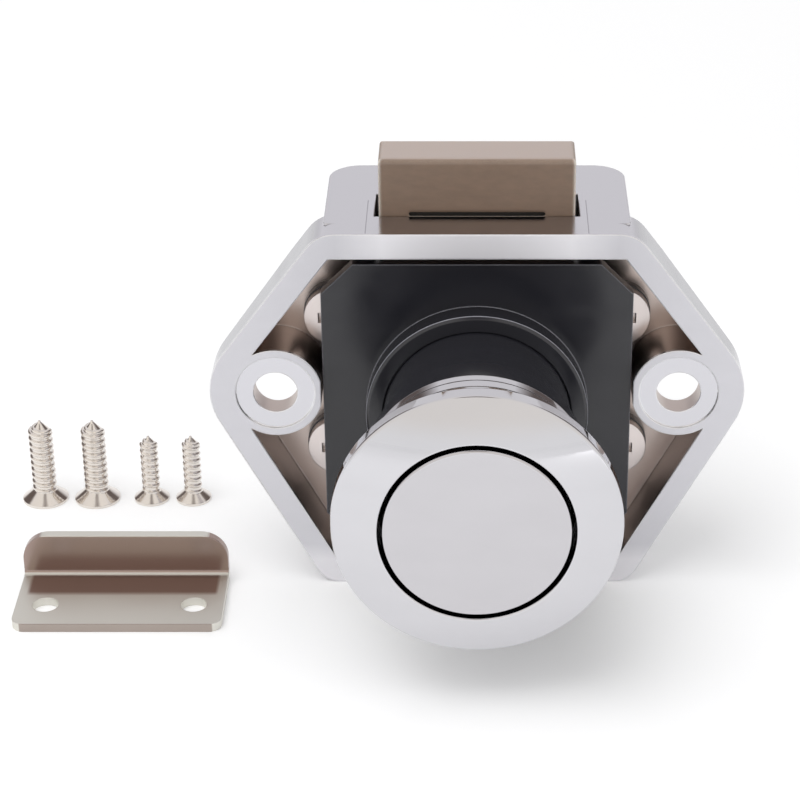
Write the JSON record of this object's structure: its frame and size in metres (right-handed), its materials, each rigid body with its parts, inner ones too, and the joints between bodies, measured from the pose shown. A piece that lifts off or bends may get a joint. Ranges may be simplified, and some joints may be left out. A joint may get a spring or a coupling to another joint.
{
  "type": "push button cabinet lock",
  "caption": "Push button cabinet lock: chromed flanged case, round button in a telescoping rosette, cam driven bolt, with strike plate and mounting screws.",
  "frame": {"origin": "midway between the two ear holes, on the front face of the flange, which rests against the inside of the door", "axes": "+X along the flange from ear to ear, -Y towards the button and out of the door, +Z the way the bolt comes out"},
  "size_m": [0.0833, 0.0481, 0.0492],
  "materials": {
    "chrome_case": "satin chrome plating on die-cast zinc",
    "chrome_button": "polished chrome plating",
    "black_plastic": "moulded, gloss",
    "white_plastic": "moulded acetal",
    "tan_plastic": "moulded nylon, satin",
    "steel": "zinc plated",
    "nickel_plate": "pressed sheet, nickel plated",
    "nickel_screws": "nickel plated"
  },
  "bodies": {
    "lock_body": {"case": "chrome_case", "rear_cover": "steel", "mechanism_body": "black_plastic", "front_cover": "black_plastic", "guide_tube": "black_plastic", "body_screw_1": "steel", "body_screw_2": "steel", "body_screw_3": "steel", "body_screw_4": "steel", "cover_screw_1": "steel", "cover_screw_2": "steel", "button_spring": "steel", "catch_wire": "steel", "strike_plate": "nickel_plate", "case_screw_1": "nickel_screws", "case_screw_2": "nickel_screws", "strike_screw_1": "nickel_screws", "strike_screw_2": "nickel_screws"},
    "rosette_body": {"rosette_ring": "chrome_button", "rosette_collar": "black_plastic"},
    "button_body": {"button_cap": "chrome_button", "button_core": "black_plastic", "core_screw": "steel", "cam_carriage": "white_plastic"},
    "bolt_body": {"bolt": "tan_plastic", "follower_pin_left": "steel", "follower_pin_right": "steel"}
  },
  "joints": [
    {"name": "button_slide", "type": "slide", "parent": "lock_body", "child": "button_body", "axis": [0, -1, 0], "range_m": [0, 0.0076], "deforming": ["button_spring", "catch_wire"]},
    {"name": "bolt_slide", "type": "slide", "parent": "lock_body", "child": "bolt_body", "axis": [0, 0, -1], "range_m": [0, 0.00654]},
    {"name": "rosette_adjust", "type": "slide", "parent": "lock_body", "child": "rosette_body", "axis": [0, 1, 0], "range_m": [0, 0.008]}
  ],
  "couplings": [
    {"joint": "bolt_slide", "follows": "button_slide", "ratio": 0.86}
  ]
}
